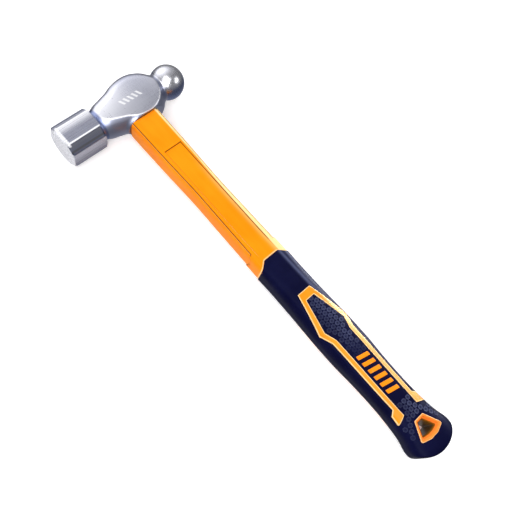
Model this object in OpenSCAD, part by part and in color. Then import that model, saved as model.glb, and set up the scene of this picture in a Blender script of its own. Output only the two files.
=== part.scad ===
// Ball peen hammer with a fibreglass-cored, two-material handle.
// The hammer lies on its side: +X runs from the head to the butt of the
// grip, -Y is the striking face, +Y the ball, +Z the upper cheek.
// All shapes are drawn about the centre of the eye and then moved so that
// the origin is at the middle of the footprint, on the supporting surface.

/* [Head] */
// Width across the flats of the poll
poll_af = 27; // [25:0.5:29]
// Width of each corner chamfer of the poll, measured along a side
poll_corner = 6; // [4.5:0.5:7]
// Distance from the eye centre to the striking face
face_reach = 58.3; // [56:0.5:62]
// Length of the octagonal poll
poll_len = 28.6; // [26:0.5:30]
// Radius of the ball
ball_r = 13; // [12.5:0.1:13.4]
// Distance from the eye centre to the centre of the ball
ball_reach = 34.4; // [34:0.1:35]
// Thickness of the head across its two flat cheeks
cheek_t = 24; // [23:0.5:26]
// Distance from the eye centre to the flat land under the head
land_under = 16.5; // [16:0.25:17]
// Distance from the eye centre to the flat land on top of the head
land_top = 18.8; // [18:0.1:19.3]

/* [Eye] */
// Spacing of the two round ends of the eye
eye_span = 8; // [6:0.5:9]
// End radius of the eye at its lower mouth
eye_r_low = 7.2; // [7:0.1:7.6]
// End radius of the eye at its upper mouth
eye_r_top = 8.2; // [8:0.1:8.6]

/* [Core] */
// Spacing of the two round edges of the core rod
core_span = 7; // [6:0.5:8]
// Edge radius of the core rod, half its thickness
core_r = 5.5; // [5:0.1:6]
// End of the core inside the grip, from the eye centre
core_end = 285; // [270:1:287]

/* [Shank] */
// Half thickness of the flat sides of the shank
shank_h = 9.4; // [9.2:0.1:9.7]
// Depth of the recess along the two narrow sides
edge_recess = 0.7; // [0.4:0.1:0.9]
// Depth of the long panel in each flat side
panel_depth = 0.6; // [0.3:0.1:1]
// Half width of the long panel
panel_w = 7; // [5:0.5:7.5]
// Start of the long panel, from the eye centre
panel_start = 47.5; // [40:0.5:60]

/* [Grip] */
// Butt of the grip, from the eye centre
butt_x = 317.8; // [316:0.2:318]
// Radius of the butt in plan
butt_r = 22; // [21.5:0.1:23]
// Start of the grip on the flat sides, from the eye centre
grip_start = 150.5; // [150.5:0.1:152]
// How far the orange inlays stand above the soft skin
inlay_proud = 0.35; // [0.2:0.05:0.6]
// Depth of the pockets that hold the inlays
inlay_deep = 1.4; // [1:0.1:1.6]
// Half width of the long legs of the inlay frame, outer edge
leg_w = 9.8; // [9.4:0.1:10]
// Number of slanted bars in the emblem
bars = 6; // [4:1:6]

/* [Hidden] */
$fn = 72;

h = poll_af / 2;
cheek = cheek_t / 2;
yf = -face_reach;
yr = yf + poll_len;
ball_end = ball_reach + ball_r;
origin = [(butt_x - land_top) / 2, (ball_end - face_reach) / 2, -h];

steel = [0.66, 0.67, 0.71];
orange = [1.0, 0.55, 0.05];
liner_orange = [1.0, 0.48, 0.14];
navy = [0.05, 0.05, 0.16];

// --- smooth curve through a short table of [position, value] ---
function seg(T, x, i = 0) = (i >= len(T) - 2 || x < T[i + 1][0]) ? i : seg(T, x, i + 1);
function slope(T, i) = let (a = max(i - 1, 0), b = min(i + 1, len(T) - 1))
    (T[b][1] - T[a][1]) / (T[b][0] - T[a][0]);
function curve(T, x) = let (i = seg(T, x), d = T[i + 1][0] - T[i][0],
    t = min(max((x - T[i][0]) / d, 0), 1),
    m0 = slope(T, i) * d, m1 = slope(T, i + 1) * d)
    (2*t*t*t - 3*t*t + 1) * T[i][1] + (t*t*t - 2*t*t + t) * m0
    + (3*t*t - 2*t*t*t) * T[i + 1][1] + (t*t*t - t*t) * m1;

// Radius of the forged body along the head, from the poll to the ball
body_r = [[-30.5, 12.0], [-29, 11.4], [-27.6, 11.3], [-25.5, 12.2], [-23, 13.2],
          [-20, 13.9], [-16, 14.8], [-10, 16.4], [-5, 18.4], [0, 19.6], [4, 20], [8, 19.9], [12, 19.1],
          [16.5, 17.3], [20, 15.1], [23, 12.4], [25.5, 10.5]];
join_y = 26.6;                       // where the body meets the ball
join_r = sqrt(ball_r*ball_r - pow(ball_reach - join_y, 2));

// Half width of the shank, and half width, half height and squareness of the grip
shank_w = [[16.5, 12.7], [55, 12.3], [84, 11.7], [110, 12.0], [150, 12.5]];
grip_w = [[150, 12.9], [162, 12.8], [175, 13.0], [189, 13.4], [203, 14.0], [213, 14.4],
          [225, 14.5], [236, 14.3], [249, 13.6], [262, 13.3], [275, 13.4], [287, 14.1],
          [294, 14.8], [300, 15.7], [306, 16.8], [311, 17.3], [319, 17.3]];
grip_h = [[150, 10.6], [162, 10.9], [189, 11.6], [213, 12.1], [236, 12.1], [262, 11.7],
          [287, 11.7], [306, 11.9], [319, 11.4]];
grip_n = [[150, 5], [175, 3.8], [205, 3.1], [240, 3.1], [290, 3.2], [319, 3.8]];

// --- lofting ---
// Joins rings of equal length, each in its own plane across X
module loft(rings) {
    n = len(rings[0]);
    m = len(rings);
    polyhedron(
        points = [for (r = rings, p = r) p],
        faces = concat(
            [[for (k = [0:n - 1]) k]],
            [for (j = [0:m - 2], k = [0:n - 1]) let (k2 = (k + 1) % n)
                each [[j*n + k, (j + 1)*n + k, (j + 1)*n + k2],
                      [j*n + k, (j + 1)*n + k2, j*n + k2]]],
            [[for (k = [n - 1:-1:0]) (m - 1)*n + k]]),
        convexity = 6);
}
function flip(L) = [for (i = [len(L) - 1:-1:0]) L[i]];
// Completes a ring from the points between its side tip and its top centre
function ring(x, tip, q) = concat(
    [[x, tip, 0]],
    [for (p = q) [x, p[0], p[1]]],
    [for (p = flip(q)) [x, -p[0], p[1]]],
    [[x, -tip, 0]],
    [for (p = q) [x, -p[0], -p[1]]],
    [for (p = flip(q)) [x, p[0], -p[1]]]);
function oval(x, w, hh, n, q = 8) = ring(x, w, [for (k = [1:q]) let (a = 90*k/(q + 0.5))
    [w * pow(cos(a), 2/n), hh * pow(sin(a), 2/n)]]);
// Shank section: flat sides, each parted by a small groove from a crowned strip set back by s
function shank(x, w, hh, s, e = 0) = let (wo = w - e, ho = hh - e, g = s > 0 ? 1 : 0)
    ring(x, wo - s, [
        [wo - s - 0.1, hh/2], [wo - s - 0.45, 0.75*ho], [wo - s - 0.8, 0.85*ho],
        [wo - 2.1, ho - 0.2 - 0.55*g], [wo - 2.35, ho - 0.12 - 1.0*g],
        [wo - 2.6, ho - 0.06 - 0.1*g], [wo - 2.8, ho], [(wo - 2.8) / 2, ho]]);
shank_rings = concat(
    [shank(land_under, curve(shank_w, land_under), shank_h, edge_recess, 1.0),
     shank(land_under + 0.4, curve(shank_w, land_under), shank_h, edge_recess, 0.35)],
    [for (x = [17.8, 30, 45, 60, 75, 90, 105, 120, 132, 142])
        shank(x, curve(shank_w, x), shank_h, edge_recess)],
    [for (x = [144.5, 150, 157]) shank(x, curve(shank_w, min(x, 150)), shank_h, 0)]);
core_wall = 2.3;                     // thickness of the soft skin
inner_rings = [for (x = [161, 175, 190, 205, 220, 236, 250, 265, 280, 292, 302, 308])
    oval(x, curve(grip_w, x) - core_wall, curve(grip_h, x) - core_wall, 3.6)];
function skin_rings(d) = [for (x = [150, 156, 162, 169, 176, 183, 190, 197, 204, 211, 218,
                                    225, 232, 239, 246, 253, 260, 267, 274, 281, 287,
                                    292, 296, 300, 304, 308, 312, 318.5])
    oval(x, curve(grip_w, x) + d, curve(grip_h, x) + d, curve(grip_n, x))];

// --- outlines on the grip, in plan ---
function both(L) = concat(L, flip([for (p = L) [p[0], -p[1]]]));
frame_out = [[182.8, 5.4], [212.5, 12.6], [221.5, leg_w], [277.5, leg_w - 0.5],
             [280.3, leg_w + 2.2], [287.6, leg_w + 2.9], [284.6, leg_w - 3.5]];
frame_in = [[189, 3.6], [213, 9.1], [221.3, leg_w - 3.3], [280, leg_w - 3.4], [284.6, leg_w - 3.5]];
liner_out = [[291.7, 3.4], [292.2, 4.2], [303.6, 9.9], [305.2, 9.4], [306.6, 4]];
hole_in = [[294.6, 1.4], [302.2, 5.4], [302.9, 4.8]];
hole_top = [[293.0, 3.0], [303.6, 8.0], [304.9, 7.4]];

module frame_2d() {
    difference() {
        polygon(both(frame_out));
        polygon(both(concat(frame_in, [[290, leg_w - 3.5]])));
    }
}
module bars_2d() {
    for (i = [0:bars - 1]) let (x = 237.5 + 5.6*i)
        polygon([[x, -4.4], [x + 2.9, -4.4], [x + 5.1, 4.4], [x + 2.2, 4.4]]);
}

module skin(d = 0) { loft(skin_rings(d)); }
// Rounds the butt in plan and breaks its edges
module butt_trim(d = 0) {
    union() {
        translate([100, -60, -40]) cube([butt_x - butt_r - 100, 120, 80]);
        translate([butt_x - butt_r, 0, 0]) rotate_extrude($fn = 120)
            polygon([[0, -11.9 - d], [butt_r - 3.2 + d, -11.9 - d], [butt_r - 1.4 + d, -10.4],
                     [butt_r - 0.3 + d, -7], [butt_r + d, 0], [butt_r - 0.3 + d, 7],
                     [butt_r - 1.4 + d, 10.4], [butt_r - 3.2 + d, 11.9 + d], [0, 11.9 + d]]);
    }
}
module stadium_x(x0, x1, span, r) {
    translate([x0, 0, 0]) rotate([0, 90, 0]) linear_extrude(x1 - x0) {
        translate([0, span/2]) circle(r = r);
        translate([0, -span/2]) circle(r = r);
        square([2*r, span], center = true);
    }
}
module eye(x0, x1) {
    r0 = eye_r_top; r1 = eye_r_low;
    for (s = [-1, 1]) translate([x0, s*eye_span/2, 0]) rotate([0, 90, 0])
        cylinder(h = x1 - x0, r1 = r0, r2 = r1);
    rotate([90, 0, 0]) linear_extrude(eye_span, center = true)
        polygon([[x0, -r0], [x1, -r1], [x1, r1], [x0, r0]]);
}
// Section of the core rod, with its round edges in flats that the jacket is moulded to
function core_ring(x) = ring(x, core_span/2 + core_r, concat(
    [for (k = [1:7]) let (a = 90*k/7) [core_span/2 + core_r*cos(a), core_r*sin(a)]],
    [[core_span/4, core_r]]));
module core_solid(x0 = -17.4, x1 = core_end) {
    translate([x0, 0, 0]) rotate([90, 0, 90]) linear_extrude(x1 - x0)
        polygon([for (p = core_ring(0)) [p[1], p[2]]]);
}

module poll_solid() {
    c = poll_corner;
    intersection() {
        translate([0, yr, 0]) rotate([90, 0, 0]) linear_extrude(poll_len)
            polygon([[h, h - c], [h - c, h], [c - h, h], [-h, h - c],
                     [-h, c - h], [c - h, -h], [h - c, -h], [h, c - h]]);
        rotate([-90, 0, 0]) rotate_extrude($fn = 120)
            polygon([[0, yf], [h - 2.6, yf], [h - 0.7, yf + 0.3], [h + 2.2, yf + 2.1],
                     [h + 2.2, yr - 1.1], [h - 0.4, yr], [0, yr]]);
    }
}
module body_solid() {
    ys = concat([for (y = [yr - 0.8, -29, -28.2, -27.6, -26.6, -25.5, -24.3]) y], [for (y = [-23:2:25]) y], [25.5]);
    intersection() {
        rotate([-90, 0, 0]) rotate_extrude($fn = 120)
            polygon(concat([[0, yr - 0.8]],
                [for (y = ys) [curve(body_r, y), y]],
                [[join_r, join_y]],
                [for (a = [-30:6:84]) [ball_r * cos(a), ball_reach + ball_r * sin(a)]],
                [[0, ball_end]]));
        union() {
            translate([-land_top, -60, -cheek]) cube([land_top + land_under, 60 + 24, cheek_t]);
            translate([-40, 22, -40]) cube([80, 60, 80]);
        }
    }
}
// Oval boss that carries the lower mouth of the eye
module eye_boss() { stadium_x(0, land_under, 7, 10.2); }

module hammer_head() {
    color(steel) difference() {
        union() { poll_solid(); body_solid(); eye_boss(); }
        eye(-land_top - 0.001, land_under + 0.001);
    }
}
// What fills the eye is dressed down to the round of the head, g below it
module dressed(g) {
    rotate([-90, 0, 0]) rotate_extrude($fn = 120)
        polygon(concat([[0, -16]], [for (y = [-16:2:16]) [curve(body_r, y) - g, y]], [[0, 16]]));
    translate([0, -30, -30]) cube([core_end + 10, 60, 60]);
}
module handle_core() {
    color([0.85, 0.78, 0.5]) intersection() { core_solid(); union() dressed(0.4); }
}
module eye_bond() {
    color([0.16, 0.15, 0.14]) difference() {
        intersection() {
            eye(-land_top - 0.001, land_under + 0.001);
            translate([-18, -30, -30]) cube([18 + land_under, 60, 60]);
            union() dressed(0.8);
        }
        core_solid();
    }
}
jacket_rings = concat(shank_rings, inner_rings);
module jacket_solid() { loft(jacket_rings); }
// The same shape with the core's seat inside it, open at the head and blind at the butt
module jacket_tube() {
    n = len(jacket_rings[0]);
    m = len(jacket_rings);
    in = m*n;
    polyhedron(
        points = concat([for (r = jacket_rings, p = r) p], core_ring(land_under), core_ring(core_end)),
        faces = concat(
            [for (k = [0:n - 1]) let (k2 = (k + 1) % n)
                each [[k, k2, in + k2], [k, in + k2, in + k]]],
            [for (j = [0:m - 2], k = [0:n - 1]) let (k2 = (k + 1) % n)
                each [[j*n + k, (j + 1)*n + k, (j + 1)*n + k2],
                      [j*n + k, (j + 1)*n + k2, j*n + k2]]],
            [for (k = [0:n - 1]) let (k2 = (k + 1) % n)
                [in + k, in + k2, in + n + k2, in + n + k]],
            [[for (k = [0:n - 1]) in + n + k]],
            [[for (k = [n - 1:-1:0]) (m - 1)*n + k]]),
        convexity = 8);
}
module panel_cut() {
    rotate([90, 0, 0]) linear_extrude(2*panel_w, center = true)
        polygon([[panel_start, shank_h - panel_depth], [138, shank_h - panel_depth],
                 [150, shank_h + 0.05], [150, shank_h + 2], [panel_start, shank_h + 2]]);
}
module shank_jacket() {
    color(orange) difference() {
        jacket_tube();
        panel_cut();
        mirror([0, 0, 1]) panel_cut();
        liner_blank();
    }
}
// Chevron that ends the soft skin on the shank
module grip_front_cut() {
    translate([0, 0, -30]) linear_extrude(60)
        polygon([[140, -30], [160, -30], [156, -13.5], [153.6, -9.6], [grip_start, -6.1],
                 [grip_start, 6.1], [153.6, 9.6], [156, 13.5], [160, 30], [140, 30]]);
}
module liner_blank() { translate([0, 0, -30]) linear_extrude(60) polygon(both(liner_out)); }
module pocket(s, d = inlay_deep) {
    difference() {
        mirror([0, 0, s > 0 ? 0 : 1]) linear_extrude(30) children();
        skin(-d);
    }
}
module grip_sleeve() {
    color(navy) difference() {
        intersection() { skin(); butt_trim(); }
        jacket_solid();
        grip_front_cut();
        liner_blank();
        for (s = [-1, 1]) pocket(s) { frame_2d(); bars_2d(); }
    }
}
module inset(s) {
    difference() {
        intersection() {
            skin(inlay_proud);
            mirror([0, 0, s > 0 ? 0 : 1]) linear_extrude(30) children();
        }
        skin(-inlay_deep);
    }
}
module grip_inlay_upper() { color(orange) inset(1) frame_2d(); }
module grip_inlay_lower() { color(orange) inset(-1) frame_2d(); }
module grip_emblem_upper() { color(orange) inset(1) bars_2d(); }
module grip_emblem_lower() { color(orange) inset(-1) bars_2d(); }
module hang_hole_liner() {
    color(liner_orange) difference() {
        intersection() { liner_blank(); skin(inlay_proud); }
        translate([0, 0, -30]) linear_extrude(60) polygon(both(hole_in));
        for (s = [0, 1]) mirror([0, 0, s]) hull() {
            translate([0, 0, 12.6]) linear_extrude(0.2) polygon(both(hole_top));
            translate([0, 0, 8.6]) linear_extrude(0.2) polygon(both(hole_in));
        }
    }
}

module place() { translate(-origin) children(); }
place() hammer_head();
place() handle_core();
place() eye_bond();
place() shank_jacket();
place() grip_sleeve();
place() grip_inlay_upper();
place() grip_inlay_lower();
place() grip_emblem_upper();
place() grip_emblem_lower();
place() hang_hole_liner();
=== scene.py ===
import math

import bmesh
import bpy
import numpy as np
from mathutils import Matrix, Vector


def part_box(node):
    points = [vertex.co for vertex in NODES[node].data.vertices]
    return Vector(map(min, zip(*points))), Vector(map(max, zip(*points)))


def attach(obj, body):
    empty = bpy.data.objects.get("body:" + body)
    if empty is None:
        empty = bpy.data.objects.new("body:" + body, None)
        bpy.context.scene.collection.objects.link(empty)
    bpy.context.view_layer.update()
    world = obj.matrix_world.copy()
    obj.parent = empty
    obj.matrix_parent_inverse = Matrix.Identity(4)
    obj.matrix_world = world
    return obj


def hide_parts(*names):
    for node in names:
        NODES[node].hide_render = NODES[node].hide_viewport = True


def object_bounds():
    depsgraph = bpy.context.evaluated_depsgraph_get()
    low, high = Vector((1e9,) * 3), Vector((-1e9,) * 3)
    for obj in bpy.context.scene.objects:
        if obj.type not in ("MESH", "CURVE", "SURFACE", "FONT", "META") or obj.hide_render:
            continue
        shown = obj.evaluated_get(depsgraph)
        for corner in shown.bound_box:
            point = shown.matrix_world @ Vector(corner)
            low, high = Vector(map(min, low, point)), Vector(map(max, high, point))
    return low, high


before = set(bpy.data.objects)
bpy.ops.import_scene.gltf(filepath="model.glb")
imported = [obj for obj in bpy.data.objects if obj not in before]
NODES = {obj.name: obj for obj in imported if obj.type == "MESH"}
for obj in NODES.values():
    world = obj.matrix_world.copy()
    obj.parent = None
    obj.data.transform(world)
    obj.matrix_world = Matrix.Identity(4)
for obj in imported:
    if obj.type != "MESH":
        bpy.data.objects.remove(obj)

CAD_LO, CAD_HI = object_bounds()
SCENE = bpy.context.scene

# The pieces are drawn in millimetres about the centre of the eye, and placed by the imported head's own box.
HEAD_LO, HEAD_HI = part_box("hammer_head")
POLL = (HEAD_HI.z - HEAD_LO.z) * 1000 / 2            # half the width across the poll's flats
LAND_TOP, LAND_UNDER = 18.8, 16.5
FACE_Y = -58.3
OX = HEAD_LO.x * 1000 + LAND_TOP
OY = HEAD_LO.y * 1000 - FACE_Y
OZ = HEAD_LO.z * 1000 + POLL
BALL_END = HEAD_HI.y * 1000 - OY
BUTT_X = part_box("grip_sleeve")[1].x * 1000 - OX


def to_row(v):
    v = np.asarray(v, float)
    return (v + np.array([OX, OY, OZ])) / 1000.0


# ---------------------------------------------------------------- mesh tools
def table(T):
    """A smooth curve through a short table, the same rule as the CAD source uses."""
    X = np.array([t[0] for t in T], float)
    V = np.array([t[1] for t in T], float)
    a = np.maximum(np.arange(len(T)) - 1, 0)
    b = np.minimum(np.arange(len(T)) + 1, len(T) - 1)
    M = (V[b] - V[a]) / (X[b] - X[a])

    def f(x):
        x = np.asarray(x, float)
        i = np.clip(np.searchsorted(X, x, side="right") - 1, 0, len(T) - 2)
        d = X[i + 1] - X[i]
        t = np.clip((x - X[i]) / d, 0, 1)
        return ((2*t**3 - 3*t**2 + 1) * V[i] + (t**3 - 2*t**2 + t) * M[i] * d
                + (3*t**2 - 2*t**3) * V[i + 1] + (t**3 - t**2) * M[i + 1] * d)
    return f


def smin(a, b, k):
    h = np.maximum(k - np.abs(a - b), 0.0) / k
    return np.minimum(a, b) - h * h * k / 4


def smax(a, b, k):
    return -smin(-a, -b, k)


def step(x, a, b):
    t = np.clip((np.asarray(x, float) - a) / (b - a), 0, 1)
    return t * t * (3 - 2 * t)


def resample(P, n, lam):
    """n points along the closed outline P, from its first point, drawn towards its bends."""
    Q = np.vstack([P, P[:1]])
    d = np.diff(Q, axis=0)
    L = np.hypot(d[:, 0], d[:, 1])
    ang = np.arctan2(d[:, 1], d[:, 0])
    turn = np.abs((np.diff(np.append(ang, ang[0])) + np.pi) % (2*np.pi) - np.pi)
    w = L + lam * (turn + np.roll(turn, 1)) / 2
    c = np.concatenate([[0], np.cumsum(w)])
    t = np.linspace(0, c[-1], n, endpoint=False)
    return np.stack([np.interp(t, c, Q[:, 0]), np.interp(t, c, Q[:, 1])], 1)


def make(name, verts, faces, smooth=True, sharp=None):
    me = bpy.data.meshes.new(name)
    me.from_pydata([tuple(v) for v in to_row(verts)], [], [tuple(int(i) for i in f) for f in faces])
    me.validate()
    me.update()
    ob = bpy.data.objects.new(name, me)
    SCENE.collection.objects.link(ob)
    shade(ob, smooth, sharp)
    return ob


def shade(ob, smooth=True, sharp=None):
    ob.data.polygons.foreach_set("use_smooth", [smooth] * len(ob.data.polygons))
    if sharp is not None:
        ob.data.set_sharp_from_angle(angle=math.radians(sharp))
    ob.data.update()


def loft(rings, start="cap", end="cap"):
    """Vertices and faces of a closed lofted skin. A cap closes on one face, a tuple closes on that point."""
    n = len(rings[0])
    V = np.vstack(rings)
    F = []
    k = np.arange(n)
    k2 = (k + 1) % n
    for j in range(len(rings) - 1):
        a, b = j * n, (j + 1) * n
        F.extend(np.stack([a + k, a + k2, b + k2, b + k], 1).tolist())
    for where, j, flip in ((start, 0, False), (end, len(rings) - 1, True)):
        ring = (j * n + k).tolist()
        if isinstance(where, (tuple, list, np.ndarray)):
            V = np.vstack([V, np.array([where], float)])
            c = len(V) - 1
            F.extend([[c, q, p] if not flip else [c, p, q]
                      for p, q in zip(ring, ring[1:] + ring[:1])])
        elif where == "cap":
            F.append(ring[::-1] if not flip else ring)
    return V, F


def paint(ob, name, values):
    """Keeps one number per vertex, for the materials to read."""
    at = ob.data.attributes.new(name, "FLOAT", "POINT")
    at.data.foreach_set("value", np.asarray(values, np.float32))


def outward(ob):
    bm = bmesh.new()
    bm.from_mesh(ob.data)
    bmesh.ops.recalc_face_normals(bm, faces=bm.faces)
    if bm.calc_volume(signed=True) < 0:
        bmesh.ops.reverse_faces(bm, faces=bm.faces)
    bm.to_mesh(ob.data)
    bm.free()


def boolean(ob, cutters, op="DIFFERENCE", sharp=35):
    for c in cutters:
        m = ob.modifiers.new("cut", "BOOLEAN")
        m.operation = op
        m.solver = "MANIFOLD"
        m.object = c
    dg = bpy.context.evaluated_depsgraph_get()
    me = bpy.data.meshes.new_from_object(ob.evaluated_get(dg))
    ob.modifiers.clear()
    old = ob.data
    ob.data = me
    bpy.data.meshes.remove(old)
    for c in cutters:
        bpy.data.objects.remove(c)
    shade(ob, True, sharp)
    return ob


def both(L):
    return L + [(x, -y) for x, y in reversed(L)]


def rounded(pts, radius, seg=6):
    """A closed outline with its corners rounded. radius is one number or one per corner."""
    P = np.array(pts, float)
    n = len(P)
    R = [radius] * n if np.isscalar(radius) else list(radius)
    out = []
    for i in range(n):
        a, b, c = P[i - 1], P[i], P[(i + 1) % n]
        u, v = (a - b) / np.linalg.norm(a - b), (c - b) / np.linalg.norm(c - b)
        half = math.acos(max(-1, min(1, float(u @ v)))) / 2
        if R[i] <= 0 or half > 1.5:
            out.append(b)
            continue
        t = min(R[i] / math.tan(half), 0.45 * np.linalg.norm(a - b), 0.45 * np.linalg.norm(c - b))
        r = t * math.tan(half)
        ctr = b + (u + v) / np.linalg.norm(u + v) * r / math.sin(half)
        s, e = b + u * t - ctr, b + v * t - ctr
        a0, a1 = math.atan2(s[1], s[0]), math.atan2(e[1], e[0])
        da = (a1 - a0 + math.pi) % (2 * math.pi) - math.pi
        for k in range(seg + 1):
            w = a0 + da * k / seg
            out.append(ctr + r * np.array([math.cos(w), math.sin(w)]))
    return np.array(out)


def grow(P, d):
    """Moves a closed outline outwards by d (it runs either way round)."""
    P = np.asarray(P, float)
    area = 0.5 * np.sum(P[:, 0] * np.roll(P[:, 1], -1) - np.roll(P[:, 0], -1) * P[:, 1])
    a = P - np.roll(P, 1, 0)
    b = np.roll(P, -1, 0) - P
    na = np.stack([a[:, 1], -a[:, 0]], 1) / np.maximum(np.linalg.norm(a, axis=1), 1e-9)[:, None]
    nb = np.stack([b[:, 1], -b[:, 0]], 1) / np.maximum(np.linalg.norm(b, axis=1), 1e-9)[:, None]
    m = na + nb
    m /= np.maximum((m * m).sum(1), 0.3)[:, None] / 2
    return P + m * d * (1 if area > 0 else -1)


# ---------------------------------------------------------------- shared shapes (as in the CAD source)
body_r = table([(-30.5, 12.0), (-29, 11.4), (-27.6, 11.3), (-25.5, 12.2), (-23, 13.2),
                (-20, 13.9), (-16, 14.8), (-10, 16.4), (-5, 18.4), (0, 19.6), (4, 20), (8, 19.9),
                (12, 19.1), (16.5, 17.3), (20, 15.1), (23, 12.4), (25.5, 10.5), (27, 9.3)])
shank_w = table([(16.5, 12.7), (55, 12.3), (84, 11.7), (110, 12.0), (150, 12.5)])
grip_w = table([(150, 12.9), (162, 12.8), (175, 13.0), (189, 13.4), (203, 14.0), (213, 14.4),
                (225, 14.5), (236, 14.3), (249, 13.6), (262, 13.3), (275, 13.4), (287, 14.1),
                (294, 14.8), (300, 15.7), (306, 16.8), (311, 17.3), (319, 17.3)])
grip_h = table([(150, 10.6), (162, 10.9), (189, 11.6), (213, 12.1), (236, 12.1), (262, 11.7),
                (287, 11.7), (306, 11.9), (319, 11.4)])
grip_n = table([(150, 5), (175, 3.8), (205, 3.1), (240, 3.1), (290, 3.2), (319, 3.8)])
SHANK_H = 9.4
BUTT_R = 22.0
CHEEK = 12.0
BALL_R, BALL_Y = 13.0, BALL_END - 13.0
POLL_END = FACE_Y + 28.6
PROUD = 0.35


def skin_z(x, y):
    """Height of the grip's upper skin over a point in plan."""
    w, h, n = grip_w(x), grip_h(x), grip_n(x)
    return h * np.maximum(1 - np.minimum(np.abs(y) / w, 1) ** n, 1e-6) ** (1 / n)


# ---------------------------------------------------------------- head
PHI = np.linspace(0, 2 * np.pi, 2880, endpoint=False)
CO, SI = np.cos(PHI), np.sin(PHI)


def octagon():
    d45 = (2 * POLL - 6.0) / math.sqrt(2)
    c = []
    for k in range(8):
        d = POLL if k % 2 == 0 else d45
        cs = np.cos(PHI - k * np.pi / 4)
        c.append(np.where(cs > 0.2, d / np.maximum(cs, 0.2), 99.0))
    c = np.sort(np.array(c), 0)
    return smin(c[0], c[1], 0.42)


OCT = octagon()


def dome(x):
    """How far the cheeks fall away from their highest line."""
    return np.where(x < 0, 0.0044, 0.0022) * x * x


def body_rings(ys):
    """Radius of the forged body all round at each y: turned profile, cheek flats, a blended boss and the two lands."""
    Y = np.asarray(ys, float)[:, None]
    R0 = body_r(Y)
    lo, hi = np.full((len(Y), len(PHI)), 5.0), np.full((len(Y), len(PHI)), 27.0)
    for _ in range(24):
        r = (lo + hi) / 2
        x, z = r * CO, r * SI
        u = (r - R0) * 0.93
        boss = smax(np.hypot(np.maximum(np.abs(Y) - 3.5, 0), z) - 9.9, x - 17.2, 0.8)
        u = smin(u, smax(boss, 7.0 - x, 4.0), 2.4)
        soft_k = 0.6 + 3.4 * step(-x, 1.0, 10.0)
        u = smax(u, np.where(Y < 24.5, np.abs(z) - CHEEK + dome(x), -9.0), soft_k)
        u = smax(u, x - LAND_UNDER, 0.5)
        u = smax(u, -x - LAND_TOP, 0.9)
        lo, hi = np.where(u < 0, r, lo), np.where(u < 0, hi, r)
    return list((lo + hi) / 2)


def build_head():
    n = 400
    st = []                                               # (y, radius function)
    for r in (2, 5, 8, 9.8, 10.6):
        st.append((FACE_Y, smin(OCT, r, 0.3) if r > 9 else np.full_like(PHI, r)))
    for dy, r in ((0.02, 11.3), (0.06, 11.9), (0.13, 12.4), (0.22, 12.75), (0.34, 13.0), (0.5, 13.25),
                  (0.7, 13.55), (0.95, 13.9), (1.25, 14.35), (1.55, 14.8), (1.85, 15.25),
                  (2.15, 15.7), (2.5, 16.2), (3.0, 17)):
        st.append((FACE_Y + dy, smin(OCT, r, 0.3)))
    for y in np.arange(FACE_Y + 4, POLL_END - 1.9, 1.5):
        st.append((y, OCT))
    for dy, r in ((-1.6, 17), (-1.35, 16.2), (-1.15, 15.7), (-0.95, 15.2), (-0.75, 14.75), (-0.55, 14.3),
                  (-0.38, 13.9), (-0.22, 13.55), (-0.1, 13.25), (-0.02, 12.9)):
        st.append((POLL_END + dy, smin(OCT, r, 0.3)))
    for dy, r in ((0.02, 12.5), (0.06, 12.2), (0.16, 11.9), (0.32, 11.65), (0.55, 11.48)):
        st.append((POLL_END + dy, np.full_like(PHI, r)))
    ys = np.concatenate([np.arange(POLL_END + 0.8, 22, 0.62), np.arange(22.1, 25.2, 0.3)])
    st.extend(zip(ys, body_rings(ys)))
    for y in np.arange(25.3, 29.0, 0.22):
        b = math.sqrt(max(BALL_R ** 2 - (y - BALL_Y) ** 2, 0))
        st.append((y, np.full_like(PHI, float(smax(float(body_r(min(y, 27))) - max(y - 27, 0) * 1.2, b, 1.1)))))
    a0 = math.asin((29.05 - BALL_Y) / BALL_R)
    for a in np.linspace(a0, math.pi / 2, 46)[:-1]:
        st.append((BALL_Y + BALL_R * math.sin(a), np.full_like(PHI, BALL_R * math.cos(a))))
    rings = []
    for y, r in st:
        P = resample(np.stack([r * CO, r * SI], 1), n, 7.0)
        rings.append(np.stack([P[:, 0], np.full(n, y), P[:, 1]], 1))
    V, F = loft(rings, start=(0, FACE_Y, 0), end=(0, BALL_END, 0))
    ob = make("head_forging", V, F)
    a = (np.hypot(V[:, 0], V[:, 2]) - body_r(V[:, 1])) * 0.93
    b = np.abs(V[:, 2]) - CHEEK + dome(V[:, 0])
    # painted highlight: a thin light line where the cheek flats meet the round, on the handle side between poll and
    # ball
    rim = np.exp(-((a - b) / 0.42) ** 2) * step(V[:, 1], -27, -25) * step(-V[:, 1], -23, -21) * step(V[:, 0], -6, 1)
    paint(ob, "lit", rim)
    outward(ob)
    cut = eye_solid("eye_cutter", [(-LAND_TOP - 3, 1.2), (-LAND_TOP - 0.2, 0.45), (-LAND_TOP + 0.25, 0.15),
                                   (-LAND_TOP + 0.6, 0.0), (LAND_UNDER + 2, 0.0)])
    boolean(ob, [cut], sharp=32)
    return ob


def eye_r(x):
    return 8.2 + (7.2 - 8.2) * (x + LAND_TOP) / (LAND_UNDER + LAND_TOP)


def stadium(r, span, n=96):
    t = np.linspace(0, 2 * np.pi, n, endpoint=False)
    y = r * np.cos(t)
    z = r * np.sin(t)
    return np.stack([y + np.where(np.cos(t) >= 0, 1, -1) * span / 2, z], 1)


def eye_solid(name, stations, span=8.0):
    rings = []
    for x, g in stations:
        P = stadium(eye_r(x) + g, span)
        rings.append(np.stack([np.full(len(P), x), P[:, 0], P[:, 1]], 1))
    V, F = loft(rings)
    ob = make(name, V, F)
    outward(ob)
    return ob


def dressed(P, g, limit):
    """How far up the eye its filling may stand over each point (y, z), g below the round of the head."""
    r = body_r(np.clip(P[:, 0], -20, 20)) - g
    return -np.minimum(np.sqrt(r * r - P[:, 1] ** 2), limit)


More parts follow.
